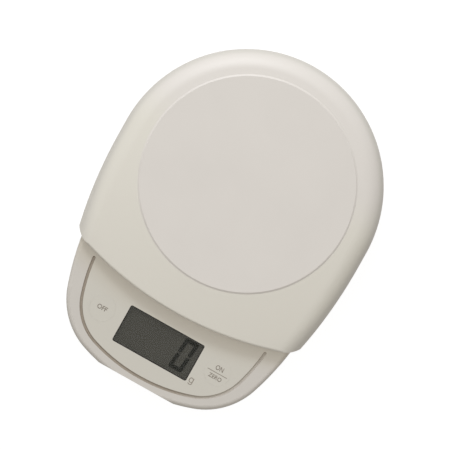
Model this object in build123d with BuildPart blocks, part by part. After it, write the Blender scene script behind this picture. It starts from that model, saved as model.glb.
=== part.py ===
from build123d import *
import math
import os

# Digital kitchen scale: a case in two halves, with the display and the keys on its front,
# and a load cell that carries the round platform above it.
# Millimetres. X to the right, Y to the back, Z up, origin on the table under the middle.

os.makedirs("parts", exist_ok=True)

# Overall size
overall_length = 188.0
platform_width = 142.0
back_y = overall_length / 2
front_y = -overall_length / 2

# Heights, from the table up
foot_height = 1.5
lower_height = 7.5
upper_height = 11.0
platform_gap = 1.5
platform_height = 8.9
disc_height = 0.6
case_z = foot_height
parting_z = case_z + lower_height
panel_z = parting_z + upper_height
rim_z = panel_z + platform_gap
top_z = rim_z + platform_height
disc_z = top_z + disc_height

# Walls
wall = 2.0
floor = 2.0
skin = 2.0
platform_wall = 2.0
floor_z = case_z + floor
ceiling_z = panel_z - skin

# Platform outline: half round at the back, sides that narrow, bowed front
platform_length = 146.2
platform_straight = 9.0
platform_side_r = 305.0
platform_corner_r = 14.6
platform_front_r = 188.0
platform_roll = 11.5
platform_over = 0.45
platform_front_round = 1.2
platform_dome_r = 550.0
platform_half = platform_width / 2
platform_centre_y = back_y - platform_half
platform_front_y = back_y - platform_length
disc_r = 56.8
disc_bevel = (0.55, 0.9)
disc_centre_y = platform_centre_y + 1.0

# Case outline: stands back under the platform, with a rounded nose cut flat at the front
case_inset = 7.4
case_side_y = front_y + 74.5
case_side_r = 148.0
case_corner_r = 38.0
case_front_r = 99.0
case_nose = 2.5
case_top_fillet = 2.2
case_bottom_fillet = 1.6
seam_edge = 0.25
case_half = platform_half - case_inset
lip_height = 1.5
lip_gap = 0.1

# Groove round the front panel
groove_inset = 12.4
groove_side_y = front_y + 55.4
groove_side_r = 96.0
groove_corner_r = 28.0
groove_front_r = 91.6
groove_front_y = front_y + 3.54
groove_width = 1.6
groove_depth = 0.7
groove_round = 0.6
groove_end_y = front_y + 46.1
groove_half = case_half - groove_inset

# Clearances
fit_gap = 0.1
thread_gap = 0.05
hole_gap = 0.2

# Display window and what lies under it
window_length = 43.8
window_width = 20.9
window_r = 1.0
window_y = front_y + 23.85
window_lip = 0.8
lens_margin = 2.0
lens_height = 1.0
tape_height = 0.15
tape_margin = 0.4
glass_margin = 2.1
glass_height = 2.2
glass_gap = 0.15
glass_ledge = 1.5
frame_wall = 1.2
strip_width = 2.0
strip_end_gap = 1.5
lens_z = panel_z - window_lip - tape_height - lens_height
frame_top_z = lens_z - glass_gap
glass_z = frame_top_z - glass_height
glass_half_x = window_length / 2 + glass_margin
glass_half_y = window_width / 2 + glass_margin
frame_half_x = glass_half_x + fit_gap + frame_wall
frame_half_y = glass_half_y + fit_gap + frame_wall

# Keys, in line beside the window, and their switches
key_r = 6.85
key_gap = 0.12
key_spacing = 0.85
key_flange = 1.2
key_flange_height = 0.6
key_travel = 0.35
key_post_r = 2.2
key_edge = 0.15
switch_side = 6.0
switch_height = 3.4
switch_leg_reach = 0.8
switch_leg_height = 0.3
plunger_r = 1.7
plunger_rise = 0.9
plunger_depth = 0.8
key_x = frame_half_x + key_spacing + key_flange + key_r
key_y = front_y + 25.4
key_places = {"off": (-key_x, key_y), "on": (key_x, key_y)}

# Circuit board
board_height = 1.2
board_depth = 5.4
board_edge = 7.8
board_length = 32.0
board_corner = 10.0
board_half = key_x + board_edge
board_y = front_y + 26.0
board_back_y = board_y + board_length / 2
board_z = ceiling_z - board_depth
board_under_z = board_z - board_height

# Parts on the underside of the board
chip_r = 6.0
chip_height = 1.6
capacitor_r = 2.5
capacitor_height = 6.0
capacitor_xs = (14.0, 20.5)
resistor_size = (2.0, 1.25, 0.6)
resistor_pitch = (5.0, 3.0)
plug_size = (10.0, 4.0, 4.0)
plug_pitch = 3.0
plug_edge = 6.0
plug_x = plug_edge - board_half
plug_y = board_back_y - plug_size[1] / 2 - 1.0

# Screws
case_screw_r = 1.3
case_screw_head_r = 2.6
case_screw_head = 1.8
case_screw_length = 10.5
case_screw_seat = 3.0
front_screw_edge = 9.45
middle_screw_edge = 11.6
middle_screw_y = front_y + 102.0
rear_screw_edge = 7.2
rear_screw_angle = 60.25
case_boss_r = 3.6
cell_screw_r = 1.5
cell_screw_head_r = 2.75
cell_screw_head = 2.0
cell_screw_end = 1.0
board_screw_r = 1.0
board_screw_head_r = 2.0
board_screw_head = 1.3
board_screw_grip = 4.0
board_boss_r = 2.6
board_screw_inset = 3.5
peg_screw_r = 1.0
peg_screw_head_r = 4.0
peg_screw_head = 1.2
peg_screw_length = 3.6
board_screw_places = [
    (side * (frame_half_x + board_boss_r + fit_gap), y)
    for side in (-1, 1)
    for y in (board_y - board_length / 2 + board_screw_inset, board_back_y - board_screw_inset)
]

# Load cell, a bar fixed at its back end and loaded at its front end
cell_length = 47.0
cell_width = 12.0
cell_height = 7.0
cell_edge = 0.4
cell_eye_r = 2.6
cell_eye_pitch = 9.0
cell_eye_slot = 1.8
cell_end = 12.0
cell_screw_pitch = 6.0
cell_headroom = 1.3
cell_pad = 2.0
cell_pad_margin = 2.0
stop_gap = 0.7
stop_boss_wall = 2.2
stop_rise = 1.0
gauge_size = (4.0, 5.0, 0.3)
sealant_size = (10.0, 17.0, 1.2)
sealant_r = 2.0
cell_y = disc_centre_y
cell_top_z = ceiling_z - cell_headroom - sealant_size[2]
cell_z = cell_top_z - cell_height
spacer_z = floor_z + cell_pad
stop_z = cell_z - stop_gap
fixed_y = cell_y + cell_length / 2 - cell_end / 2
free_y = cell_y - cell_length / 2 + cell_end / 2
cell_screw_offsets = (-cell_screw_pitch / 2, cell_screw_pitch / 2)
gauge_ys = (cell_y - cell_eye_pitch / 2, cell_y + cell_eye_pitch / 2)

# Load plate between the cell and the platform
hub_half_x = 7.0
hub_half_y = 6.5
hub_r = 1.5
hub_gap = 2.2
hub_collar = 3.0
hub_seat = 3.5
arm_rise = 4.0
arm_height = 2.5
arm_wall = 3.2
plate_r = 23.0
peg_circle_r = 46.0
peg_r = 2.5
eye_r = 3.6
grommet_flange_r = 4.8
grommet_flange = 0.8
arm_z = panel_z + arm_rise
arm_top_z = arm_z + arm_height
shoulder_z = arm_top_z + grommet_flange
peg_tip_z = arm_z - grommet_flange
peg_step = peg_circle_r * math.sqrt(0.5)
peg_places = [(x * peg_step, disc_centre_y + y * peg_step) for x in (-1, 1) for y in (-1, 1)]

# Battery bay, open downwards, with two small round cells lying across the case
battery_r = 5.25
battery_length = 44.5
battery_nub_r = 1.9
battery_nub = 0.9
battery_edge = 0.4
battery_gap = 0.5
battery_headroom = 0.3
battery_rib = (1.0, 3.0)
contact_room = 2.8
contact_height = 0.4
contact_width = 6.0
leaf_half = 3.6
leaf_tip_half = 1.0
tail_length = 3.4
tail_width = 2.0
bridge_height = 1.6
bay_wall = 1.2
bay_roof = 1.2
bay_back_room = 2.35
bay_front_room = 1.6
bay_y = front_y + 61.0
door_height = 1.6
door_gap = 0.25
door_barrel_r = 1.5
door_pin_r = 0.8
door_pin_length = 1.0
ledge_size = (6.0, 1.0, 2.0)
tongue_half = 6.0
tongue_slot = (0.8, 7.0)
thumb_groove = (8.0, 0.6, 0.4)
thumb_groove_pitch = 1.4
battery_z = case_z + door_height + hole_gap + battery_r
battery_pitch = 2 * battery_r + battery_gap
battery_ys = {"positive": bay_y - battery_pitch / 2, "negative": bay_y + battery_pitch / 2}
bay_half_x = battery_length / 2 + contact_room
bay_back_y = battery_ys["negative"] + battery_r + bay_back_room
bay_front_y = battery_ys["positive"] - battery_r - bay_front_room
bay_ceiling_z = battery_z + battery_r + battery_headroom
bay_top_z = bay_ceiling_z + bay_roof
contact_x = bay_half_x - contact_height / 2
tail_x = -contact_x - tail_length
door_half_x = bay_half_x - door_gap
door_front_y = bay_front_y + door_gap
door_axis_y = bay_back_y - door_gap - door_barrel_r
door_axis_z = case_z + door_barrel_r

# Rubber feet
foot_r = 6.0
foot_seat = 1.0
foot_edge = 0.4
front_foot_edge = 11.75
front_foot_angle = -45.5
rear_foot_edge = 7.75
rear_foot_angle = 44.25

# Leads
cell_lead_r = 0.8
battery_lead_r = 0.6
lead_z = board_under_z - plug_size[2] / 2
plug_face_y = plug_y + plug_size[1] / 2

UP = (Align.CENTER, Align.CENTER, Align.MIN)
DOWN = (Align.CENTER, Align.CENTER, Align.MAX)
BACK_UP = (Align.CENTER, Align.MIN, Align.MIN)
FRONT_UP = (Align.CENTER, Align.MAX, Align.MIN)


def lifted(places, z):
    """The same places at one height."""
    return [(x, y, z) for x, y in places]


def save(piece, name):
    """Label a finished piece and write it to its own file."""
    piece.part.label = name
    export_step(piece.part, f"parts/{name}.step")


def nose_arcs(half, side_y, side_r, corner_r, front_r, nose_y):
    """Centre, start and end of the side, corner and front arcs of a rounded front."""
    side_centre = Vector(half - side_r, side_y)
    front_centre = Vector(0, nose_y + front_r)
    across = front_centre - side_centre
    side_reach = side_r - corner_r
    front_reach = front_r - corner_r
    along = (across.length**2 + side_reach**2 - front_reach**2) / (2 * across.length)
    out = math.sqrt(side_reach**2 - along**2)
    unit = across.normalized()
    corner_centre = side_centre + unit * along + Vector(unit.Y, -unit.X) * out
    side_end = side_centre + (corner_centre - side_centre).normalized() * side_r
    front_end = front_centre + (corner_centre - front_centre).normalized() * front_r
    return [
        (side_centre, Vector(half, side_y), side_end),
        (corner_centre, side_end, front_end),
        (front_centre, front_end, Vector(0, nose_y)),
    ]


def half_width(arcs, y):
    """Half the width of a rounded front at one place along it."""
    centre, start = next((centre, start) for centre, start, end in arcs if end.Y <= y <= start.Y)
    radius = (start - centre).length
    return centre.X + math.sqrt(radius**2 - (y - centre.Y) ** 2)


def in_from(centre, radius, edge, angle):
    """X and Y of the place that stands in by edge from an arc, at an angle about its centre."""
    reach = radius - edge
    turn = math.radians(angle)
    return centre.X + reach * math.cos(turn), centre.Y + reach * math.sin(turn)


def arc_about(centre, start, end):
    """Short arc about a centre."""
    radius = (start - centre).length
    middle = centre + (start + end - centre * 2).normalized() * radius
    return ThreePointArc(start, middle, end)


def outline(half, back, side_y, arcs):
    """Closed outline with a half round back and the given arcs down each side."""
    with BuildSketch() as shape:
        with BuildLine():
            CenterArc((0, back - half), half, 0, 90)
            Line((half, back - half), (half, side_y))
            for centre, start, end in arcs:
                arc_about(centre, start, end)
            mirror(about=Plane.YZ)
        make_face()
    return shape.sketch


def platform_outline(inset=0.0):
    """The platform from above, drawn in by inset."""
    half = platform_half - inset
    side_y = platform_centre_y - platform_straight
    arcs = nose_arcs(
        half,
        side_y,
        platform_side_r - inset,
        platform_corner_r - inset,
        platform_front_r - inset,
        platform_front_y + inset,
    )
    return outline(half, back_y - inset, side_y, arcs)


def platform_blank(inset=0.0):
    """The same sides and back, run on past the front and cut square there."""
    half = platform_half - inset
    side_y = platform_centre_y - platform_straight
    side_r = platform_side_r - inset
    cut_y = platform_front_y - 2.5 * platform_roll
    centre = Vector(half - side_r, side_y)
    cut_x = centre.X + math.sqrt(side_r**2 - (cut_y - side_y) ** 2)
    with BuildSketch() as shape:
        with BuildLine():
            CenterArc((0, back_y - platform_half), half, 0, 90)
            Line((half, back_y - platform_half), (half, side_y))
            arc_about(centre, Vector(half, side_y), Vector(cut_x, cut_y))
            Line((cut_x, cut_y), (0, cut_y))
            mirror(about=Plane.YZ)
        make_face()
    return shape.sketch


def case_nose_arcs(inset=0.0):
    """Arcs of the case's rounded front, drawn in by inset."""
    return nose_arcs(
        case_half - inset,
        case_side_y,
        case_side_r - inset,
        case_corner_r - inset,
        case_front_r - inset,
        front_y - case_nose + inset,
    )


def case_blank(inset=0.0):
    """The case from above before its nose is cut flat, drawn in by inset."""
    back = back_y - case_inset - inset
    return outline(case_half - inset, back, case_side_y, case_nose_arcs(inset))


def case_outline(inset=0.0):
    """The case from above, drawn in by inset."""
    shape = case_blank(inset)
    with BuildSketch() as cut:
        add(shape)
        with Locations((0, front_y + inset)):
            Rectangle(
                2 * platform_width,
                2 * overall_length,
                align=(Align.CENTER, Align.MIN),
                mode=Mode.INTERSECT,
            )
    return cut.sketch


def domed_block(shape, low_z, high_z, inset, roll):
    """Block under the platform's dome and no higher than high_z, with its top edge rounded."""
    dome_r = platform_dome_r - inset
    dome_depth = math.sqrt(platform_dome_r**2 - disc_r**2)
    with BuildPart() as block:
        with BuildSketch(Plane.XY.offset(low_z)):
            add(shape)
        extrude(amount=high_z - low_z)
        with Locations((0, disc_centre_y, top_z - dome_depth)):
            Sphere(dome_r, mode=Mode.INTERSECT)
        dome = block.faces().filter_by(GeomType.SPHERE)[0]
        if roll:
            fillet(dome.outer_wire().edges(), roll)
    return block.part


def rolled_block(inset, high_z, roll, front_round):
    """Domed block of the platform's outline: back and sides roll over, the front is crisp."""
    with BuildPart() as block:
        blank = platform_blank(inset - platform_over)
        add(domed_block(blank, rim_z - platform_roll, high_z, inset, roll))
        crisp = domed_block(platform_outline(inset), rim_z, high_z, inset, front_round)
        add(crisp, mode=Mode.INTERSECT)
    return block.part


def screw(shank_r, length, head_r, head_height):
    """Cross-head screw that points up, with the seat of its head at height 0."""
    head_round = 0.35 * head_height
    point = 0.4 * shank_r
    cross_length = 1.1 * head_r
    cross_width = 0.25 * head_r
    cross_depth = 0.6 * head_height
    with BuildPart() as made:
        Cylinder(head_r, head_height, align=DOWN)
        fillet(made.edges().group_by(Axis.Z)[0], head_round)
        Cylinder(shank_r, length, align=UP)
        chamfer(made.edges().group_by(Axis.Z)[-1], point)
        with BuildSketch(Plane.XY.offset(-head_height)):
            Rectangle(cross_length, cross_width)
            Rectangle(cross_width, cross_length)
        extrude(amount=cross_depth, mode=Mode.SUBTRACT)
    return made.part


def lead(points, bends, radius):
    """Insulated wire along straight runs joined by bends."""
    with BuildPart() as made:
        with BuildLine() as route:
            FilletPolyline(*points, radius=bends)
        path = route.wires()[0]
        with BuildSketch(Plane(path @ 0, z_dir=path % 0)):
            Circle(radius)
        sweep(path=path)
    return made.part


def box_ring(half_x, half_y, thickness, low_z, high_z, y):
    """Rectangular frame of a given wall round an opening."""
    with BuildPart() as ring:
        with BuildSketch(Plane.XY.offset(low_z)):
            with Locations((0, y)):
                Rectangle(2 * (half_x + thickness), 2 * (half_y + thickness))
                Rectangle(2 * half_x, 2 * half_y, mode=Mode.SUBTRACT)
        extrude(amount=high_z - low_z)
    return ring.part


# Case screws behind the board, at mid length and along the half round back
case_arcs = case_nose_arcs()
case_back = Vector(0, platform_centre_y)
front_screw_y = board_back_y + case_boss_r + 1.5
case_screw_places = [
    (side * x, y)
    for side in (-1, 1)
    for x, y in (
        (half_width(case_arcs, front_screw_y) - front_screw_edge, front_screw_y),
        (case_half - middle_screw_edge, middle_screw_y),
        in_from(case_back, case_half, rear_screw_edge, rear_screw_angle),
    )
]

# Feet inside the front corners and along the back
foot_places = [
    (side * x, y)
    for side in (-1, 1)
    for x, y in (
        in_from(case_arcs[1][0], case_corner_r, front_foot_edge, front_foot_angle),
        in_from(case_back, case_half, rear_foot_edge, rear_foot_angle),
    )
]

# Lower half of the case
with BuildPart() as lower_shell:
    with BuildSketch(Plane.XY.offset(case_z)):
        add(case_outline())
    extrude(amount=lower_height)
    fillet(lower_shell.edges().group_by(Axis.Z)[0], case_bottom_fillet)
    chamfer(lower_shell.edges().group_by(Axis.Z)[-1], seam_edge)
    with BuildSketch(Plane.XY.offset(floor_z)):
        add(case_outline(wall))
    extrude(amount=parting_z - floor_z, mode=Mode.SUBTRACT)
    # Lip that stands up inside the upper half
    with BuildSketch(Plane.XY.offset(parting_z)):
        add(case_outline(wall / 2 + lip_gap))
        add(case_outline(wall), mode=Mode.SUBTRACT)
    extrude(amount=lip_height)
    # Pillars for the case screws, boss of the overload stop, pad under the load cell
    with Locations(*lifted(case_screw_places, floor_z)):
        Cylinder(case_boss_r, parting_z - floor_z, align=UP)
    with Locations((0, free_y, floor_z)):
        Cylinder(cell_screw_r + stop_boss_wall, stop_z - stop_rise - floor_z, align=UP)
    with Locations((0, fixed_y, floor_z)):
        pad_x = cell_width + 2 * cell_pad_margin
        pad_y = cell_end + 2 * cell_pad_margin
        Box(pad_x, pad_y, cell_pad, align=UP)
    # Battery bay, with a rib between the two cells and two ledges that stop the door
    with Locations((0, (bay_back_y + bay_front_y) / 2, case_z)):
        bay_x = 2 * bay_half_x
        bay_size_y = bay_back_y - bay_front_y
        Box(bay_x + 2 * bay_wall, bay_size_y + 2 * bay_wall, bay_top_z - case_z, align=UP)
        Box(bay_x, bay_size_y, bay_ceiling_z - case_z, align=UP, mode=Mode.SUBTRACT)
    with Locations((0, bay_y, bay_ceiling_z)):
        Box(bay_x, *battery_rib, align=DOWN)
    ledge_x = bay_half_x - ledge_size[0]
    ledge_z = case_z + door_height + fit_gap
    with Locations(*lifted([(-ledge_x, bay_front_y), (ledge_x, bay_front_y)], ledge_z)):
        Box(*ledge_size, align=BACK_UP)
    # Sockets for the pins of the door, and slots for the tails of the contacts
    with Locations((0, door_axis_y, door_axis_z)):
        Cylinder(
            door_pin_r + thread_gap,
            2 * (bay_half_x + door_pin_length),
            rotation=(0, 90, 0),
            mode=Mode.SUBTRACT,
        )
    with Locations(*[(-bay_half_x, y, battery_z) for y in battery_ys.values()]):
        slot_y = tail_width + 2 * hole_gap
        slot_z = contact_height + hole_gap
        Box(2 * (bay_wall + fit_gap), slot_y, slot_z, mode=Mode.SUBTRACT)
    # Screw holes from below
    with Locations(*lifted(case_screw_places, case_z)):
        Cylinder(case_screw_r + hole_gap, lower_height, align=UP, mode=Mode.SUBTRACT)
        Cylinder(case_screw_head_r + hole_gap, case_screw_seat, align=UP, mode=Mode.SUBTRACT)
    with Locations(*[(0, fixed_y + dy, case_z) for dy in cell_screw_offsets]):
        Cylinder(cell_screw_r + fit_gap, floor + cell_pad, align=UP, mode=Mode.SUBTRACT)
        Cylinder(
            cell_screw_head_r + fit_gap, cell_screw_head + hole_gap, align=UP, mode=Mode.SUBTRACT
        )
    with Locations((0, free_y, case_z)):
        Cylinder(cell_screw_r + thread_gap, stop_z, align=UP, mode=Mode.SUBTRACT)
    # Seats for the rubber feet
    with Locations(*lifted(foot_places, case_z)):
        Cylinder(foot_r + fit_gap, foot_seat, align=UP, mode=Mode.SUBTRACT)
save(lower_shell, "lower_shell")

# Upper half of the case
with BuildPart() as upper_shell:
    # The top edge is rounded before the nose is cut flat, so the cut shows the rounding
    with BuildSketch(Plane.XY.offset(parting_z)):
        add(case_blank())
    extrude(amount=upper_height)
    fillet(upper_shell.edges().group_by(Axis.Z)[-1], case_top_fillet)
    split(bisect_by=Plane.XZ.offset(-front_y), keep=Keep.BOTTOM)
    chamfer(upper_shell.edges().group_by(Axis.Z)[0], seam_edge)
    with BuildSketch(Plane.XY.offset(parting_z)):
        add(case_outline(wall))
    extrude(amount=ceiling_z - parting_z, mode=Mode.SUBTRACT)
    with BuildSketch(Plane.XY.offset(parting_z)):
        add(case_outline(wall / 2))
    extrude(amount=lip_height + lip_gap, mode=Mode.SUBTRACT)
    # Pillars for the case screws and the board screws
    with Locations(*lifted(case_screw_places, ceiling_z)):
        Cylinder(case_boss_r, ceiling_z - parting_z, align=DOWN)
    with Locations(*lifted(board_screw_places, ceiling_z)):
        Cylinder(board_boss_r, board_depth, align=DOWN)
    with Locations(*lifted(case_screw_places, parting_z)):
        case_grip = case_screw_length - (lower_height - case_screw_seat)
        Cylinder(case_screw_r + thread_gap, case_grip + hole_gap, align=UP, mode=Mode.SUBTRACT)
    with Locations(*lifted(board_screw_places, board_z)):
        Cylinder(
            board_screw_r + thread_gap, board_screw_grip + hole_gap, align=UP, mode=Mode.SUBTRACT
        )
    # Display window, with a pocket for its lens on the inside
    with BuildSketch(Plane.XY.offset(ceiling_z)):
        with Locations((0, window_y)):
            RectangleRounded(window_length, window_width, window_r)
    extrude(amount=skin, mode=Mode.SUBTRACT)
    with BuildSketch(Plane.XY.offset(ceiling_z)):
        with Locations((0, window_y)):
            pocket = 2 * (lens_margin + fit_gap)
            RectangleRounded(window_length + pocket, window_width + pocket, window_r)
    extrude(amount=skin - window_lip, mode=Mode.SUBTRACT)
    # Key holes
    with Locations(*lifted(key_places.values(), ceiling_z)):
        Cylinder(key_r + key_gap, skin, align=UP, mode=Mode.SUBTRACT)
    # Opening round the hub of the load plate
    with BuildSketch(Plane.XY.offset(ceiling_z)):
        with Locations((0, free_y)):
            opening = (2 * (hub_half_x + hub_gap), 2 * (hub_half_y + hub_gap))
            RectangleRounded(*opening, hub_r + hub_gap)
    extrude(amount=skin, mode=Mode.SUBTRACT)
    # Groove round the panel, with round ends towards the platform
    with BuildSketch(Plane.XY.offset(panel_z - groove_depth)):
        with BuildLine():
            side_arc, corner_arc, front_arc = nose_arcs(
                groove_half,
                groove_side_y,
                groove_side_r,
                groove_corner_r,
                groove_front_r,
                groove_front_y,
            )
            rise = groove_end_y - side_arc[0].Y
            groove_end_x = side_arc[0].X + math.sqrt(groove_side_r**2 - rise**2)
            arc_about(side_arc[0], Vector(groove_end_x, groove_end_y), side_arc[2])
            arc_about(*corner_arc)
            arc_about(*front_arc)
            mirror(about=Plane.YZ)
        trace(line_width=groove_width)
        with Locations((groove_end_x, groove_end_y), (-groove_end_x, groove_end_y)):
            Circle(groove_width / 2)
    extrude(amount=groove_depth, mode=Mode.SUBTRACT)
    groove_floor = upper_shell.faces().filter_by_position(
        Axis.Z, panel_z - groove_depth, panel_z - groove_depth
    )[0]
    fillet(groove_floor.edges(), groove_round)
save(upper_shell, "upper_shell")

# Rubber feet
with BuildPart() as rubber_feet:
    with Locations(*lifted(foot_places, 0)):
        Cylinder(foot_r, foot_height + foot_seat, align=UP)
    chamfer(rubber_feet.edges().group_by(Axis.Z)[0], foot_edge)
save(rubber_feet, "rubber_feet")

# Screws that hold the two halves of the case together
with BuildPart() as case_screws:
    with Locations(*lifted(case_screw_places, case_z + case_screw_seat)):
        add(screw(case_screw_r, case_screw_length, case_screw_head_r, case_screw_head))
save(case_screws, "case_screws")

# Window lens, and the adhesive frame that holds it under the lip of the window
lens_x = window_length + 2 * lens_margin
lens_y = window_width + 2 * lens_margin
with BuildPart() as window_lens:
    with BuildSketch(Plane.XY.offset(lens_z)):
        with Locations((0, window_y)):
            RectangleRounded(lens_x, lens_y, window_r)
    extrude(amount=lens_height)
save(window_lens, "window_lens")

with BuildPart() as window_tape:
    with BuildSketch(Plane.XY.offset(lens_z + lens_height)):
        with Locations((0, window_y)):
            bare_x = window_length + 2 * tape_margin
            bare_y = window_width + 2 * tape_margin
            RectangleRounded(lens_x, lens_y, window_r)
            RectangleRounded(bare_x, bare_y, window_r, mode=Mode.SUBTRACT)
    extrude(amount=tape_height)
save(window_tape, "window_tape")

# Display glass, its frame, and the rubber strip that connects it to the board
with BuildPart() as display_glass:
    with Locations((0, window_y, glass_z)):
        Box(2 * glass_half_x, 2 * glass_half_y, glass_height, align=UP)
save(display_glass, "display_glass")

with BuildPart() as contact_strip:
    with Locations((0, window_y - glass_half_y + fit_gap, board_z)):
        Box(2 * (glass_half_x - strip_end_gap), strip_width, glass_z - board_z, align=BACK_UP)
save(contact_strip, "contact_strip")

with BuildPart() as display_frame:
    inner_x = glass_half_x + fit_gap
    inner_y = glass_half_y + fit_gap
    add(box_ring(inner_x, inner_y, frame_wall, board_z, frame_top_z, window_y))
    with Locations((0, window_y + inner_y, board_z)):
        Box(2 * inner_x, glass_ledge, glass_z - board_z, align=FRONT_UP)
save(display_frame, "display_frame")

# Circuit board, hung from the upper half of the case
with BuildPart() as circuit_board:
    with BuildSketch(Plane.XY.offset(board_under_z)) as board_shape:
        with Locations((0, board_y)):
            Rectangle(2 * board_half, board_length)
        chamfer(board_shape.vertices().group_by(Axis.Y)[0], board_corner)
        with Locations(*board_screw_places):
            Circle(board_screw_r + hole_gap, mode=Mode.SUBTRACT)
    extrude(amount=board_height)
save(circuit_board, "circuit_board")

with BuildPart() as board_screws:
    with Locations(*lifted(board_screw_places, board_under_z)):
        board_screw_length = board_height + board_screw_grip
        add(screw(board_screw_r, board_screw_length, board_screw_head_r, board_screw_head))
save(board_screws, "board_screws")

# Parts on the underside of the board
with BuildPart() as controller_chip:
    with Locations((0, board_y, board_under_z)):
        Cylinder(chip_r, chip_height, align=DOWN)
    fillet(controller_chip.edges().group_by(Axis.Z)[0], 0.75 * chip_height)
save(controller_chip, "controller_chip")

with BuildPart() as capacitors:
    with Locations(*[(x, board_y + chip_r, board_under_z) for x in capacitor_xs]):
        Cylinder(capacitor_r, capacitor_height, align=DOWN)
    fillet(capacitors.edges().group_by(Axis.Z)[0], 0.15 * capacitor_r)
save(capacitors, "capacitors")

with BuildPart() as resistors:
    with Locations((0, board_y - chip_r - 2 * resistor_size[0], board_under_z)):
        with GridLocations(*resistor_pitch, 5, 2):
            Box(*resistor_size, align=DOWN)
save(resistors, "resistors")

with BuildPart() as lead_plug:
    with Locations((plug_x, plug_y, board_under_z)):
        Box(*plug_size, align=DOWN)
    fillet(lead_plug.edges().filter_by(Axis.Z), 0.5)
save(lead_plug, "lead_plug")

# Keys: round caps in the panel, each over a small push switch on the board
switch_top_z = board_z + switch_height
post_z = switch_top_z + plunger_rise
flange_z = ceiling_z - fit_gap - key_flange_height
for name, (x, y) in key_places.items():
    with BuildPart() as key:
        with Locations((x, y, flange_z)):
            Cylinder(key_r, panel_z - flange_z, align=UP)
        chamfer(key.edges().group_by(Axis.Z)[-1], key_edge)
        with Locations((x, y, flange_z)):
            Cylinder(key_r + key_flange, key_flange_height, align=UP)
        with Locations((x, y, post_z)):
            Cylinder(key_post_r, flange_z - post_z, align=UP)
    save(key, f"{name}_key")

    with BuildPart() as switch:
        with Locations((x, y, board_z)):
            Box(switch_side, switch_side, switch_height, align=UP)
        chamfer(switch.edges().filter_by(Axis.Z), 0.5)
        with Locations((x, y, board_z)):
            legs_x = switch_side + 2 * switch_leg_reach
            Box(legs_x, switch_leg_reach, switch_leg_height, align=UP)
        with Locations((x, y, switch_top_z)):
            well = plunger_depth + key_travel + fit_gap
            Cylinder(plunger_r + fit_gap, well, align=DOWN, mode=Mode.SUBTRACT)
    save(switch, f"{name}_switch")

    with BuildPart() as plunger:
        with Locations((x, y, switch_top_z - plunger_depth)):
            Cylinder(plunger_r, plunger_depth + plunger_rise, align=UP)
    save(plunger, f"{name}_switch_plunger")

# Load cell: an aluminium bar with a double eye cut through its middle
with BuildPart() as load_cell:
    with Locations((0, cell_y, cell_z)):
        Box(cell_width, cell_length, cell_height, align=UP)
    chamfer(load_cell.edges().filter_by(Axis.Y), cell_edge)
    with BuildSketch(Plane.YZ.offset(-cell_width / 2)):
        eye_z = cell_z + cell_height / 2
        with Locations(*[(y, eye_z) for y in gauge_ys]):
            Circle(cell_eye_r)
        with Locations((cell_y, eye_z)):
            Rectangle(cell_eye_pitch, cell_eye_slot)
    extrude(amount=cell_width, mode=Mode.SUBTRACT)
    with Locations(*[(0, y + dy, cell_z) for y in (fixed_y, free_y) for dy in cell_screw_offsets]):
        Cylinder(cell_screw_r + thread_gap, cell_height, align=UP, mode=Mode.SUBTRACT)
save(load_cell, "load_cell")

with BuildPart() as cell_spacer:
    with Locations((0, fixed_y, spacer_z)):
        Box(cell_width, cell_end, cell_z - spacer_z, align=UP)
    fillet(cell_spacer.edges().filter_by(Axis.Z), 1.0)
    with Locations(*[(0, fixed_y + dy, spacer_z) for dy in cell_screw_offsets]):
        Cylinder(cell_screw_r + fit_gap, cell_z - spacer_z, align=UP, mode=Mode.SUBTRACT)
save(cell_spacer, "cell_spacer")

with BuildPart() as cell_screws:
    seat_z = case_z + cell_screw_head + hole_gap
    cell_screw_length = cell_top_z - seat_z - cell_screw_end
    with Locations(*[(0, fixed_y + dy, seat_z) for dy in cell_screw_offsets]):
        add(screw(cell_screw_r, cell_screw_length, cell_screw_head_r, cell_screw_head))
save(cell_screws, "cell_screws")

with BuildPart() as overload_stop:
    with Locations((0, free_y, stop_z)):
        Cylinder(cell_screw_r, stop_z - case_z - foot_seat, align=DOWN)
    chamfer(overload_stop.edges().group_by(Axis.Z)[-1], 0.2 * cell_screw_r)
save(overload_stop, "overload_stop")

# Strain gauges over and under the eyes, all under two pads of sealant
with BuildPart() as strain_gauges:
    with Locations(*[(0, y, cell_top_z) for y in gauge_ys]):
        Box(*gauge_size, align=UP)
    with Locations(*[(0, y, cell_z) for y in gauge_ys]):
        Box(*gauge_size, align=DOWN)
save(strain_gauges, "strain_gauges")

with BuildPart() as gauge_sealant:
    with Locations((0, cell_y, cell_top_z)):
        Box(*sealant_size, align=UP)
    with Locations((0, cell_y, cell_z)):
        Box(*sealant_size, align=DOWN)
    fillet(gauge_sealant.edges().filter_by(Axis.Z), sealant_r)
    add(strain_gauges.part, mode=Mode.SUBTRACT)
save(gauge_sealant, "gauge_sealant")

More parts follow.
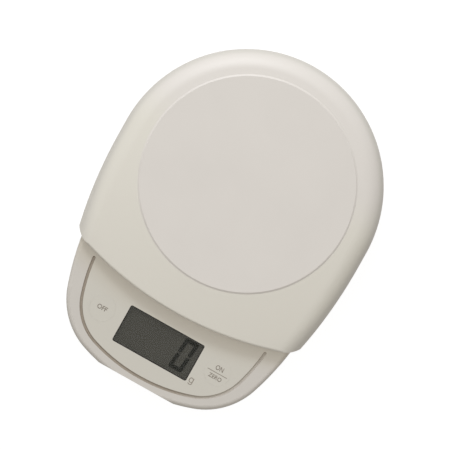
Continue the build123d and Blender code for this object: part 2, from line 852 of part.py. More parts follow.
# Load plate: a hub on the free end of the cell, and four arms that carry the platform
with BuildPart() as load_plate:
    with BuildSketch(Plane.XY.offset(arm_z)):
        with Locations((0, disc_centre_y)):
            arm_width = 2 * (eye_r + arm_wall)
            SlotCenterToCenter(2 * peg_circle_r, arm_width, rotation=45)
            SlotCenterToCenter(2 * peg_circle_r, arm_width, rotation=-45)
            Circle(plate_r)
        with Locations((0, free_y)):
            RectangleRounded(
                2 * (hub_half_x + hub_collar), 2 * (hub_half_y + hub_collar), hub_r + hub_collar
            )
        with Locations(*peg_places):
            Circle(eye_r, mode=Mode.SUBTRACT)
    extrude(amount=arm_height)
    with BuildSketch(Plane.XY.offset(cell_top_z)):
        with Locations((0, free_y)):
            RectangleRounded(2 * hub_half_x, 2 * hub_half_y, hub_r)
    extrude(amount=arm_z - cell_top_z)
    hub_height = arm_top_z - cell_top_z
    with Locations(*[(0, free_y + dy, cell_top_z) for dy in cell_screw_offsets]):
        Cylinder(cell_screw_r + fit_gap, hub_height, align=UP, mode=Mode.SUBTRACT)
    with Locations(*[(0, free_y + dy, cell_top_z + hub_seat) for dy in cell_screw_offsets]):
        Cylinder(cell_screw_head_r + fit_gap, hub_height, align=UP, mode=Mode.SUBTRACT)
save(load_plate, "load_plate")

with BuildPart() as load_plate_screws:
    seat_z = cell_top_z + hub_seat
    plate_screw_length = seat_z - cell_z - cell_screw_end
    turned = [Location((0, free_y + dy, seat_z), (180, 0, 0)) for dy in cell_screw_offsets]
    with Locations(*turned):
        add(screw(cell_screw_r, plate_screw_length, cell_screw_head_r, cell_screw_head))
save(load_plate_screws, "load_plate_screws")

# Rubber grommets in the eyes of the arms
with BuildPart() as grommets:
    grommet_height = shoulder_z - peg_tip_z
    with Locations(*lifted(peg_places, peg_tip_z)):
        Cylinder(eye_r - thread_gap, grommet_height, align=UP)
        Cylinder(grommet_flange_r, grommet_flange, align=UP)
    with Locations(*lifted(peg_places, shoulder_z)):
        Cylinder(grommet_flange_r, grommet_flange, align=DOWN)
    with Locations(*lifted(peg_places, peg_tip_z)):
        Cylinder(peg_r + thread_gap, grommet_height, align=UP, mode=Mode.SUBTRACT)
save(grommets, "grommets")

# Platform: a shallow dome round a flat disc, with four pegs that stand in the grommets
platform_under_z = top_z - platform_wall
platform_block = rolled_block(0, disc_z, platform_roll, platform_front_round)
platform_cavity = rolled_block(
    platform_wall, platform_under_z, platform_roll - platform_wall, 0
)
with BuildPart() as platform:
    add(platform_block)
    add(platform_cavity, mode=Mode.SUBTRACT)
    with Locations((0, disc_centre_y, top_z - disc_height)):
        Cylinder(disc_r, 2 * disc_height, align=UP)
    chamfer(platform.edges().group_by(Axis.Z)[-1], *disc_bevel)
    with Locations(*lifted(peg_places, shoulder_z)):
        Cylinder(grommet_flange_r, platform_under_z - shoulder_z, align=UP)
    with Locations(*lifted(peg_places, peg_tip_z)):
        Cylinder(peg_r, shoulder_z - peg_tip_z, align=UP)
        Cylinder(
            peg_screw_r + thread_gap, peg_screw_length + hole_gap, align=UP, mode=Mode.SUBTRACT
        )
save(platform, "platform")

with BuildPart() as platform_screws:
    with Locations(*lifted(peg_places, peg_tip_z)):
        add(screw(peg_screw_r, peg_screw_length, peg_screw_head_r, peg_screw_head))
save(platform_screws, "platform_screws")

# Battery door, hinged on two pins at its back edge
with BuildPart() as battery_door:
    with Locations((0, door_axis_y, case_z)):
        Box(2 * door_half_x, door_axis_y - door_front_y, door_height, align=FRONT_UP)
    with Locations((0, door_axis_y, door_axis_z)):
        pin_reach = bay_half_x + door_pin_length - fit_gap
        Cylinder(door_barrel_r, 2 * door_half_x, rotation=(0, 90, 0))
        Cylinder(door_pin_r, 2 * pin_reach, rotation=(0, 90, 0))
    # Spring tongue of the catch, freed by a slot on each side, with grooves for a thumb
    with Locations((-tongue_half, door_front_y, case_z), (tongue_half, door_front_y, case_z)):
        Box(*tongue_slot, door_height, align=BACK_UP, mode=Mode.SUBTRACT)
    with Locations((0, door_front_y + tongue_slot[1] / 2, case_z)):
        with GridLocations(0, thumb_groove_pitch, 1, 3):
            Box(*thumb_groove, align=UP, mode=Mode.SUBTRACT)
save(battery_door, "battery_door")

# The two cells lie head to tail
can_length = battery_length - battery_nub
for name, side in (("front", -1), ("rear", 1)):
    axis_place = (bay_y + side * battery_pitch / 2, battery_z)
    with BuildPart() as battery:
        with BuildSketch(Plane.YZ.offset(-side * battery_nub / 2 - can_length / 2)):
            with Locations(axis_place):
                Circle(battery_r)
        extrude(amount=can_length)
        fillet(battery.edges(), battery_edge)
        with BuildSketch(Plane.YZ.offset(side * (battery_length / 2 - battery_nub))):
            with Locations(axis_place):
                Circle(battery_nub_r)
        extrude(amount=side * battery_nub)
    save(battery, f"{name}_battery")


def contact_leaf(side, y):
    """Battery contact: a plate flat on an end wall of the bay, and a leaf bent towards the cell."""
    wall_x = side * contact_x
    tip_x = side * (battery_length / 2 + contact_height / 2 + thread_gap)
    with BuildPart() as leaf:
        with BuildSketch(Plane.XZ.offset(-y - contact_width / 2)):
            with BuildLine():
                Polyline(
                    (wall_x, battery_z - leaf_half),
                    (tip_x, battery_z - leaf_tip_half),
                    (tip_x, battery_z + leaf_tip_half),
                    (wall_x, battery_z + leaf_half),
                )
            trace(line_width=contact_height)
        extrude(amount=contact_width)
        with Locations((wall_x, y, battery_z)):
            Box(contact_height, contact_width, 2 * leaf_half)
    return leaf.part


for name, y in battery_ys.items():
    with BuildPart() as contact:
        add(contact_leaf(-1, y))
        with Locations((tail_x + tail_length / 2, y, battery_z)):
            Box(tail_length, tail_width, contact_height)
    save(contact, f"{name}_contact")

with BuildPart() as bridge_contact:
    for y in battery_ys.values():
        add(contact_leaf(1, y))
    with Locations((contact_x, bay_y, battery_z - leaf_half)):
        Box(contact_height, battery_pitch, bridge_height, align=UP)
save(bridge_contact, "bridge_contact")

# Leads from the load cell and from the battery contacts to the plug on the board
with BuildPart() as cell_lead:
    plug_slot_x = plug_x - plug_pitch
    lane_x = tail_x - 7.0
    cell_lead_z = cell_z + cell_lead_r + cell_edge + hole_gap
    route = [
        (plug_slot_x, plug_face_y, lead_z),
        (plug_slot_x, plug_face_y + 10.0, lead_z),
        (lane_x, cell_y - 16.0, lead_z - 1.0),
        (-cell_width / 2 - 9.0, cell_y, cell_lead_z),
        (-cell_width / 2, cell_y, cell_lead_z),
    ]
    add(lead(route, [20.0, 10.0, 6.0], cell_lead_r))
save(cell_lead, "cell_lead")

for name, slot in (("positive", 1), ("negative", 0)):
    with BuildPart() as battery_lead:
        plug_slot_x = plug_x + slot * plug_pitch
        lane_x = tail_x - 2.4 - (1 - slot) * plug_pitch
        route = [
            (tail_x, battery_ys[name], battery_z),
            (lane_x, battery_ys[name], battery_z),
            (plug_slot_x, plug_face_y + 4.0, lead_z),
            (plug_slot_x, plug_face_y, lead_z),
        ]
        add(lead(route, [1.5, 3.0], battery_lead_r))
    save(battery_lead, f"{name}_lead")
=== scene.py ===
# %% [markdown]
# # A digital kitchen scale
#
# The scale has a domed platform on a slim case, with a display and two keys at the front. Its
# pieces come in at their real size, in metres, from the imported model. This notebook gives each of
# them the finish of the real thing, adds the printed and moulded details, and lights it like a
# catalogue photo.

import math

import bpy
from mathutils import Matrix, Vector


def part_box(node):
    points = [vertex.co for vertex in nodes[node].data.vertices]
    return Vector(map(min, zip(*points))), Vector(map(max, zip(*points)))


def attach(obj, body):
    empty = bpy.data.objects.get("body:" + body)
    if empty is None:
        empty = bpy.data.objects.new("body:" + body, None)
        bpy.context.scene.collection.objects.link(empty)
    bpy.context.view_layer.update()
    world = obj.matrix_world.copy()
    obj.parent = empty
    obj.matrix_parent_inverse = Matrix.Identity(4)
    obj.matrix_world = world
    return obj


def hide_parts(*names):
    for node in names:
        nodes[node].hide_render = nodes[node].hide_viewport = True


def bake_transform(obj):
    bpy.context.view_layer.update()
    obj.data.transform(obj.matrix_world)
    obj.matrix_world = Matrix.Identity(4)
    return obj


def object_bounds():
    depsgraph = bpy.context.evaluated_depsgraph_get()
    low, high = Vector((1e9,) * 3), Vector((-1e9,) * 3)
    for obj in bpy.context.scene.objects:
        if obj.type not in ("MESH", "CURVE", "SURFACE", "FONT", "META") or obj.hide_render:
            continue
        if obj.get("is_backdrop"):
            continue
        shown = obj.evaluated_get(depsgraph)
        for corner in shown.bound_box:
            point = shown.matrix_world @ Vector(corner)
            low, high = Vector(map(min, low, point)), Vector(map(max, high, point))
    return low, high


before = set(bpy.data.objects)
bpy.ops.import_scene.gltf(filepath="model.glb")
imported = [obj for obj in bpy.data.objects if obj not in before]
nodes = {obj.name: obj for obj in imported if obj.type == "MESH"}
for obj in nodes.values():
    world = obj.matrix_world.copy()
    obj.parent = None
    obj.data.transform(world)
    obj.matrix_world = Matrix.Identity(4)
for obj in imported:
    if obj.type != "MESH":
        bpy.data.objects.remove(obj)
cad_low, cad_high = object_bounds()
print("pieces:", len(nodes), "size in mm:", [round(1000 * side, 1) for side in cad_high - cad_low])

# %% [markdown]
# ## The camera
#
# The photo was taken from straight above, through a long lens, with the scale turned on the
# table. A camera far up with a narrow lens gives the same flat view. Its height counts from the
# front panel. The turn could go to the scale or to the camera. It goes to the camera, because the
# scale stays where its pieces are.

# %% Camera
MM = 0.001
PHOTO_PIXELS = 450
PIXEL = 0.5178 * MM
PHOTO_TURN = math.radians(29.3)
FRAME_SHIFT = 0.13 * MM
CAMERA_HEIGHT = 2.6
SENSOR = 36.0

photo_side = PHOTO_PIXELS * PIXEL
panel_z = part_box("upper_shell")[1].z
place = (FRAME_SHIFT, 0, panel_z + CAMERA_HEIGHT)
bpy.ops.object.camera_add(location=place, rotation=(0, 0, PHOTO_TURN))
camera = bpy.context.object
camera.name = "photo_camera"
camera.data.sensor_width = SENSOR
camera.data.lens = SENSOR * CAMERA_HEIGHT / photo_side
camera.data.clip_end = 20
bpy.context.scene.camera = camera
print("lens in mm:", round(camera.data.lens), "frame in mm:", round(1000 * photo_side))

# %% [markdown]
# ## Writing shaders as sums
#
# A material is a tree of nodes, and most of them only add, scale or compare. Wiring each by hand
# hides what they do. The class below wraps a socket, so that Python's own operators add the Math
# nodes, and `1 - mask` reads as what it is. One method adds every other kind of node.

# %% A socket that Python's operators work on
class Wire:
    """An output socket of a material's nodes."""

    def __init__(self, tree, socket=None):
        self.tree = tree
        self.socket = socket

    def node(self, kind, settings, inputs, output=0):
        """Adds a node, sets it up, fills its sockets, and gives back one of its outputs."""
        made = self.tree.nodes.new("ShaderNode" + kind)
        for name, value in settings.items():
            if name == "stops":
                for stop, (place, colour) in zip(self.ramp_stops(made, value), value):
                    stop.position = place
                    stop.color = colour
            else:
                setattr(made, name, value)
        for name, value in inputs.items():
            if isinstance(value, Wire):
                self.tree.links.new(value.socket, made.inputs[name])
            else:
                made.inputs[name].default_value = value
        return Wire(self.tree, made.outputs[output] if made.outputs else None)

    @staticmethod
    def ramp_stops(made, stops):
        """As many stops on a colour ramp as it is given."""
        while len(made.color_ramp.elements) < len(stops):
            made.color_ramp.elements.new(0.5)
        return made.color_ramp.elements

    def math(self, operation, *values):
        return self.node("Math", {"operation": operation}, dict(enumerate(values)))

    def __add__(self, other):
        return self.math("ADD", self, other)

    def __sub__(self, other):
        return self.math("SUBTRACT", self, other)

    def __rsub__(self, other):
        return self.math("SUBTRACT", other, self)

    def __mul__(self, other):
        return self.math("MULTIPLY", self, other)

    def __gt__(self, other):
        return self.math("GREATER_THAN", self, other)

    def __abs__(self):
        return self.math("ABSOLUTE", self)

    def __pow__(self, other):
        return self.math("POWER", self, other)

    __radd__ = __add__
    __rmul__ = __mul__

    def larger(self, other):
        return self.math("MAXIMUM", self, other)

    def smooth(self, low, high):
        """0 below low, 1 above high, and a soft step between them."""
        settings = {"interpolation_type": "SMOOTHSTEP"}
        return self.node("MapRange", settings, {"Value": self, "From Min": low, "From Max": high})

    def mix(self, other, factor):
        """This colour, with the other one over it by the factor."""
        return self.node("Mix", {"data_type": "RGBA"}, {0: factor, 6: self, 7: other}, output=2)


# %% [markdown]
# ## Colours and grain that all the finishes share
#
# Colours are written as a photo shows them, from 0 to 255, and turned into the linear light that
# shaders count in. Almost every surface here is moulded, cast or pressed, so the finishes also
# share one habit: a slow drift of tone over centimetres, and a fine grain under a millimetre in
# the bump.

# %% Shared shader helpers
def shade(red, green, blue):
    """A colour as a photo shows it, 0 to 255, as linear light."""
    parts = [value / 255 for value in (red, green, blue)]
    linear = [p / 12.92 if p <= 0.04045 else ((p + 0.055) / 1.055) ** 2.4 for p in parts]
    return (*linear, 1.0)


def new_finish(name):
    """An empty material, the wire to start its nodes from, and its Object coordinates."""
    finish = bpy.data.materials.new(name)
    finish.use_nodes = True
    finish.node_tree.nodes.clear()
    start = Wire(finish.node_tree)
    return finish, start, start.node("TexCoord", {}, {}, output="Object")


def noise(place, size, detail=2.0, stretch=(1, 1, 1)):
    """Cloudy noise from 0 to 1 with blobs of about the given size in metres."""
    scale = [part / size for part in stretch]
    scaled = place.node("Mapping", {}, {"Vector": place, "Scale": scale})
    return place.node("TexNoise", {}, {"Vector": scaled, "Scale": 1.0, "Detail": detail})


def axes(place, names):
    """The coordinates of a place along each of the named axes."""
    return [place.node("SeparateXYZ", {}, {"Vector": place}, output=axis) for axis in names]


def bump(height, depth):
    """The surface normal of a relief whose 0 to 1 stands for the depth in metres."""
    return height.node("Bump", {}, {"Height": height, "Distance": depth, "Strength": 1.0})


def surface(start, inputs):
    """Ends a material with a Principled shader and its output."""
    shader = start.node("BsdfPrincipled", {}, inputs)
    start.node("OutputMaterial", {}, {"Surface": shader})


def drifting(place, colour, size, amount):
    """A colour that grows lighter and darker by the amount over blobs of the given size."""
    low = [part * (1 - amount) for part in colour[:3]] + [1.0]
    high = [min(part * (1 + amount), 1.0) for part in colour[:3]] + [1.0]
    ramp = {"stops": [(0.3, low), (0.7, high)]}
    return place.node("ValToRGB", ramp, {"Fac": noise(place, size)})


# %% [markdown]
# ## The white plastic
#
# Platform, case and keys are moulded in ABS, from tools with a fine spark-eroded texture. A
# smooth white with a gloss would look like glazed china. The texture breaks the gloss into a soft
# sheen, so the grain goes into the bump and, at the same places, into the roughness. The platform
# is the lighter moulding. Outside its disc it is painted a little lighter at the back, a painted
# light, and yellower towards the front, painted warm light bounced up from the table. Low down on
# its rim and under it, it is painted greyer, a painted shade. The panel inside the groove is
# printed over in a greener tint.

# %% Moulded ABS
GRAIN = 0.45 * MM
GRAIN_DEPTH = 0.006 * MM
PLASTIC_DRIFT = 0.012


def moulded(name, colour, tint=None):
    """A moulded white plastic, whose colour a tint function may change from place to place."""
    finish, start, place = new_finish(name)
    base = drifting(place, colour, 30 * MM, PLASTIC_DRIFT)
    if tint:
        base = tint(place, base)
    grain = noise(place, GRAIN, detail=3.0)
    surface(start, {
        "Base Color": base,
        "Roughness": 0.41 + 0.1 * grain,
        "Specular IOR Level": 0.45,
        "Normal": bump(grain, GRAIN_DEPTH),
    })
    return finish


DISC_R = 56.8 * MM
DISC_CENTRE = Vector((0, 24 * MM, 0))
# Outside the disc, painted light: lighter at the back, and yellower towards the front for warm
# light bounced from the table.
BOUNCE_BEFORE, NEUTRAL_FROM = 26 * MM, 52 * MM
# Below this height the platform is painted greyer, a painted shade low on its rim and under it.
RIM_SHADE_BELOW, UNSHADED_ABOVE, RIM_SHADE_SHARE = 23.5 * MM, 27.8 * MM, 0.95
RING_LIGHT_TONE, FRONT_BOUNCE_TONE = shade(217, 213, 208), shade(217, 214, 205)
RIM_SHADE_TONE = shade(202, 199, 192)


def platform_light_and_shade(place, base):
    """Paints light and shade into the platform: lighter outside its disc, yellower in front, greyer
    down its rim.
    """
    flatten = {"Vector": place, "Location": -DISC_CENTRE, "Scale": (1, 1, 0)}
    flat = place.node("Mapping", {}, flatten)
    away = flat.node("VectorMath", {"operation": "LENGTH"}, {0: flat}, output="Value")
    y, z = axes(place, "YZ")
    outside = away.smooth(DISC_R - 0.5 * MM, DISC_R + 0.5 * MM)
    front = 1 - y.smooth(BOUNCE_BEFORE, NEUTRAL_FROM)
    # Painted light outside the disc, warmer towards the front.
    ring = base.mix(RING_LIGHT_TONE, outside).mix(FRONT_BOUNCE_TONE, outside * front)
    # Painted shade low on the rim and underneath.
    return ring.mix(RIM_SHADE_TONE, RIM_SHADE_SHARE * (1 - z.smooth(RIM_SHADE_BELOW, UNSHADED_ABOVE)))


platform_white = moulded("platform_abs", shade(215, 211, 206), platform_light_and_shade)
key_white = moulded("key_abs", shade(201, 198, 189))
print("moulded finishes:", platform_white.name, key_white.name)

# %% [markdown]
# ## The outline of the groove
#
# The groove round the panel follows arcs: one along the front, and on each side a long one and a
# tight one at the corner. A shader can ask how far a point lies inside such an outline. Inside
# the side's circle and inside the front's circle is a plain maximum of two distances. At the
# corner, between the two points where its own circle takes over, the distance is measured from
# that circle's centre.

# %% Distance to the groove's outline
GROOVE_SIDE_X = 51.2 * MM
GROOVE_SIDE_Y = -38.6 * MM
GROOVE_SIDE_R = 96 * MM
GROOVE_CORNER_R = 28 * MM
GROOVE_FRONT_R = 91.6 * MM
GROOVE_FRONT_Y = -90.46 * MM
PLATFORM_FRONT_R = 188 * MM
PLATFORM_FRONT_CENTRE = Vector((0, -52.2 * MM + PLATFORM_FRONT_R))

side_centre = Vector((GROOVE_SIDE_X - GROOVE_SIDE_R, GROOVE_SIDE_Y))
front_centre = Vector((0, GROOVE_FRONT_Y + GROOVE_FRONT_R))


def corner_between(first, first_r, second, second_r, corner_r):
    """The centre of a circle that touches two larger ones from inside, on the front right."""
    across = second - first
    reach, other = first_r - corner_r, second_r - corner_r
    along = (reach**2 - other**2 + across.length**2) / (2 * across.length)
    out = math.sqrt(reach**2 - along**2)
    step = across.normalized()
    return first + step * along + Vector((step.y, -step.x)) * out


corner_centre = corner_between(
    side_centre, GROOVE_SIDE_R, front_centre, GROOVE_FRONT_R, GROOVE_CORNER_R
)
print("corner centre in mm:", [round(1000 * part, 2) for part in corner_centre])


def beyond(x, y, centre, radius):
    """How far a point lies outside a circle."""
    return ((x - centre.x) ** 2 + (y - centre.y) ** 2) ** 0.5 - radius


def groove_distance(x, y):
    """Metres outside the middle of the groove, less than 0 on the panel's side."""
    plain = beyond(x, y, side_centre, GROOVE_SIDE_R).larger(
        beyond(x, y, front_centre, GROOVE_FRONT_R)
    )
    past = []
    for centre, turn in ((side_centre, 1), (front_centre, -1)):
        out = (corner_centre - centre).normalized()
        ahead = Vector((out.y, -out.x)) * turn
        past.append((x - corner_centre.x) * ahead.x + (y - corner_centre.y) * ahead.y > 0)
    at_corner = past[0] * past[1]
    rounded = beyond(x, y, corner_centre, GROOVE_CORNER_R)
    return rounded * at_corner + plain * (1 - at_corner)


# %% [markdown]
# ## The tint of the front panel
#
# Inside the groove the panel is printed over in a slightly greener tint, and the groove's own
# floor is darkened with painted shade. The panel is also a shade warmer along the platform's bowed
# front edge, a painted shadow of the platform with warm bounced light in it. On the right the
# groove's painted shade is lighter, a painted light where that side of the groove is lit. Height
# tells the panel from the groove's floor, and both from the inside of the case.

# %% Panel tint
# The second tone is a painted shadow along the platform's front edge, warm from bounced light.
PANEL_TONE, PLATFORM_SHADOW_TONE = shade(201, 198, 189), shade(195, 189, 177)
# Painted shade on the groove's floor.
GROOVE_SHADE_TONE = shade(150, 140, 127)
GROOVE_HALF_WIDTH = 0.7 * MM
GROOVE_BACK_END = -47.0 * MM
# How far from the platform's front edge the painted shadow reaches.
PLATFORM_SHADOW_FROM, PLATFORM_SHADOW_TO = 1 * MM, 15 * MM
# On the right the groove's painted shade fades, a painted light where that side is lit.
GROOVE_LIT_FROM, GROOVE_LIT_TO, GROOVE_LIT_SHARE = 15 * MM, 45 * MM, 0.47


def panel_tint_and_shade(place, base):
    """Tints the panel, paints shade into the groove's floor, and paints the platform's shadow on
    the back of the panel.
    """
    x, y, z = axes(place, "XYZ")
    distance = groove_distance(abs(x), y)
    front = 1 - y.smooth(GROOVE_BACK_END, GROOVE_BACK_END + 0.5 * MM)
    on_top = z.smooth(panel_z - 1.1 * MM, panel_z - 1.0 * MM)
    sunk = 1 - z.smooth(panel_z - 0.1 * MM, panel_z - 0.01 * MM)
    panel = (1 - distance.smooth(-0.4 * MM, 0.4 * MM)) * on_top
    groove = 1 - abs(distance).smooth(GROOVE_HALF_WIDTH, GROOVE_HALF_WIDTH + 0.15 * MM)
    from_platform = beyond(x, y, PLATFORM_FRONT_CENTRE, PLATFORM_FRONT_R)
    # A painted shadow along the platform's front edge.
    overlay = (1 - from_platform.smooth(PLATFORM_SHADOW_FROM, PLATFORM_SHADOW_TO)) * on_top
    # Painted light: less groove shade towards the right.
    lit_right = GROOVE_LIT_SHARE * x.smooth(GROOVE_LIT_FROM, GROOVE_LIT_TO)
    tinted = base.mix(PANEL_TONE, panel).mix(PLATFORM_SHADOW_TONE, overlay)
    # The groove's floor gets painted shade, less of it on the right.
    return tinted.mix(GROOVE_SHADE_TONE, groove * sunk * on_top * front * (1 - lit_right))


case_white = moulded("case_abs", shade(201, 197, 191), panel_tint_and_shade)
print("case finish:", case_white.name, "nodes:", len(case_white.node_tree.nodes))

# %% [markdown]
# ## Clear, printed and rubber finishes
#
# The window lens is clear acrylic. A shader that bends light is the usual choice, but lamps reach
# what lies under it only by chance, and the display would come out blurred. A flat lens bends
# nothing that shows, so this one is a dark gloss of low Alpha, and light goes straight through
# the rest. Ink is matt and a little worn. Rubber is darker, and its surface is dull from talc.

# %% Lens, ink and rubber
def clear_plastic():
    """The lens over the display: a faint reflection, and nothing else."""
    finish, start, place = new_finish("clear_acrylic")
    waves = noise(place, 9 * MM)
    surface(start, {
        "Base Color": (0.05, 0.05, 0.05, 1.0),
        "Roughness": 0.03 + 0.02 * waves,
        "Specular IOR Level": 0.5,
        "Alpha": 0.1,
        "Normal": bump(waves, 0.002 * MM),
    })
    return finish


def ink(name, colour, gloss):
    """Pad print, or the dark of a segment: a matt tone with a fine speckle."""
    finish, start, place = new_finish(name)
    speck = noise(place, 0.3 * MM, detail=3.0)
    surface(start, {
        "Base Color": drifting(place, colour, 1.2 * MM, 0.04),
        "Roughness": 0.5 + 0.2 * speck,
        "Specular IOR Level": gloss,
        "Normal": bump(speck, 0.004 * MM),
    })
    return finish


def rubber(name, colour, talc=0.12):
    """Moulded rubber, with talc on it in patches."""
    finish, start, place = new_finish(name)
    overlay = noise(place, 2.5 * MM, detail=4.0)
    grain = noise(place, 0.25 * MM)
    body = drifting(place, colour, 6 * MM, 0.1)
    surface(start, {
        "Base Color": body.mix(shade(150, 148, 142), talc * overlay.smooth(0.45, 0.75)),
        "Roughness": 0.68 + 0.2 * overlay,
        "Specular IOR Level": 0.3,
        "Normal": bump(grain, 0.02 * MM),
    })
    return finish


print_ink = ink("print_ink", shade(140, 132, 122), gloss=0.3)
lens_clear = clear_plastic()
print("lens and print:", lens_clear.name, print_ink.name)

# %% [markdown]
# ## The display
#
# A reflective liquid crystal display is a dark olive grey from above. Its digits are almost black
# and throw a soft shadow on the mirror behind them. The glass carries the shadow of the one lit
# digit and a darker band along its edge, so both follow the surface without any picture file.

# %% Display glass
WINDOW_Y = -70.15 * MM
WINDOW_HALF = Vector((21.9 * MM, 10.45 * MM))
DIGIT_CENTRE = Vector((14.5 * MM, -69.35 * MM))
DIGIT_SIZE = Vector((7.75 * MM, 17.35 * MM))
DIGIT_SLANT = math.tan(math.radians(5.2))
STROKE = 2.05 * MM
MIRROR_TONE, EDGE_BAND_TONE = shade(82, 81, 74), shade(46, 43, 39)
SHADOW_TONE = shade(52, 52, 47)
SHADOW_SHIFT = 0.5 * MM
SHADOW_BLUR = 0.5 * MM
SHADOW_DEPTH = 0.35


def display_glass():
    """The mirror under the glass, with the digit's shadow on it and a darker band round its edge.
    """
    finish, start, place = new_finish("display_glass")
    x, y = axes(place, "XY")
    edge = (abs(x) - WINDOW_HALF.x).larger(abs(y - WINDOW_Y) - WINDOW_HALF.y)
    up = y - (DIGIT_CENTRE.y - SHADOW_SHIFT)
    across = abs(x - (DIGIT_CENTRE.x + SHADOW_SHIFT) - DIGIT_SLANT * up)
    ring = abs((across - DIGIT_SIZE.x / 2).larger(abs(up) - DIGIT_SIZE.y / 2) + STROKE / 2)
    shadow = 1 - ring.smooth(STROKE / 2 - SHADOW_BLUR, STROKE / 2 + SHADOW_BLUR)
    mirror = drifting(place, MIRROR_TONE, 12 * MM, 0.03)
    glass = mirror.mix(EDGE_BAND_TONE, edge.smooth(-0.7 * MM, -0.2 * MM))
    polish = noise(place, 15 * MM)
    surface(start, {
        "Base Color": glass.mix(SHADOW_TONE, SHADOW_DEPTH * shadow),
        "Roughness": 0.16 + 0.08 * polish,
        "Specular IOR Level": 0.1,
        "Normal": bump(polish, 0.002 * MM),
    })
    return finish


lcd_glass = display_glass()
lcd_ink = ink("display_segment", shade(38, 39, 33), gloss=0.04)
print("window in mm:", [round(2000 * half, 1) for half in WINDOW_HALF], "finish:", lcd_ink.name)

# %% [markdown]
# ## Metals
#
# Under the plastic are pressed, milled and plated metals. All are a metallic base colour, and
# what tells them apart is how rough they are and which way their fine scratches run: along an
# extruded bar, up a drawn can or a pressed contact, or in no direction on a tumbled screw or a
# cast plate. Noise stretched along one axis draws such scratches.

# %% Metals
def metal(name, colour, rough, scratch=(1, 1, 1)):
    """A metal whose fine scratches are stretched along an axis where its scale is small."""
    finish, start, place = new_finish(name)
    lines = noise(place, 0.3 * MM, detail=3.0, stretch=scratch)
    tarnish = noise(place, 8 * MM, detail=3.0)
    surface(start, {
        "Base Color": drifting(place, colour, 5 * MM, 0.06),
        "Metallic": 1.0,
        "Roughness": rough + 0.12 * lines + 0.1 * tarnish,
        "Normal": bump(lines, 0.006 * MM),
    })
    return finish


screw_steel = metal("screw_steel", shade(196, 196, 198), rough=0.25)
bar_aluminium = metal("bar_aluminium", shade(208, 208, 210), rough=0.3, scratch=(1, 0.06, 1))
plate_aluminium = metal("plate_aluminium", shade(196, 197, 198), rough=0.45)
contact_nickel = metal("contact_nickel", shade(205, 202, 192), rough=0.18, scratch=(1, 1, 0.08))
can_aluminium = metal("can_aluminium", shade(190, 190, 194), rough=0.3, scratch=(1, 1, 0.1))
metals = (screw_steel, bar_aluminium, plate_aluminium, contact_nickel, can_aluminium)
print("metals:", [finish.name for finish in metals])

# %% [markdown]
# ## The inside
#
# The pieces inside show only when the scale is opened, but each has its own finish. Three of them
# have lines that repeat: green solder resist with copper tracks under it, the meander of the foil
# gauges, and the layers of the rubber strip under the display. A zigzag along one axis, cut at a
# level, gives such lines.

# %% Board, foil and contact strip
def stripes(value, pitch, share):
    """1 on a share of every pitch along a coordinate, 0 between."""
    return value.math("PINGPONG", value, pitch / 2) * (2 / pitch) > 1 - share


def circuit_board():
    """Green solder resist, raised where copper tracks run under it along X or Y."""
    finish, start, place = new_finish("solder_resist")
    x, y = axes(place, "XY")
    runs = noise(place, 7 * MM, detail=0.0) > 0.5
    tracks = stripes(x, 1.3 * MM, 0.35) * runs + stripes(y, 1.3 * MM, 0.35) * (1 - runs)
    base = drifting(place, shade(34, 92, 52), 20 * MM, 0.08).mix(shade(62, 128, 70), 0.7 * tracks)
    surface(start, {
        "Base Color": base,
        "Roughness": 0.34 - 0.08 * tracks,
        "Normal": bump(tracks, 0.03 * MM),
    })
    return finish


def gauge_foil():
    """Amber film with the copper meander of a strain gauge."""
    finish, start, place = new_finish("gauge_foil")
    y = axes(place, "Y")[0]
    meander = stripes(y, 0.5 * MM, 0.5)
    base = drifting(place, shade(206, 150, 74), 3 * MM, 0.08).mix(shade(150, 92, 46), meander)
    surface(start, {
        "Base Color": base,
        "Metallic": 0.4 * meander,
        "Roughness": 0.45 - 0.15 * meander,
        "Normal": bump(meander, 0.01 * MM),
    })
    return finish


def contact_strip():
    """The rubber strip of fine conducting and insulating layers."""
    finish, start, place = new_finish("layered_rubber")
    x = axes(place, "X")[0]
    layers = stripes(x, 0.4 * MM, 0.5)
    base = drifting(place, shade(214, 150, 140), 3 * MM, 0.06).mix(shade(40, 38, 38), layers)
    surface(start, {"Base Color": base, "Roughness": 0.6 + 0.1 * layers})
    return finish


# %% [markdown]
# ## Small mouldings and the cells
#
# Chips, plugs, switches and tape have no pattern, so one function serves them all. The sleeve of a
# cell is printed in bands round it. The two cells lie opposite ways, so one of them has its bands
# counted along the other direction of the same axis.

# %% Small mouldings and the sleeves of the cells
SLEEVE_BAND_FROM = 13.0 * MM
SLEEVE_ENDS = (-21.9 * MM, 21.2 * MM)
SLEEVE_BLUR = 0.2 * MM


def plain(name, colour, rough, grain=0.4 * MM, depth=0.008 * MM):
    """A small moulded or dipped piece: a tone that drifts, and a fine grain."""
    finish, start, place = new_finish(name)
    fine = noise(place, grain, detail=3.0)
    surface(start, {
        "Base Color": drifting(place, colour, 4 * MM, 0.06),
        "Roughness": rough + 0.12 * fine,
        "Normal": bump(fine, depth),
    })
    return finish


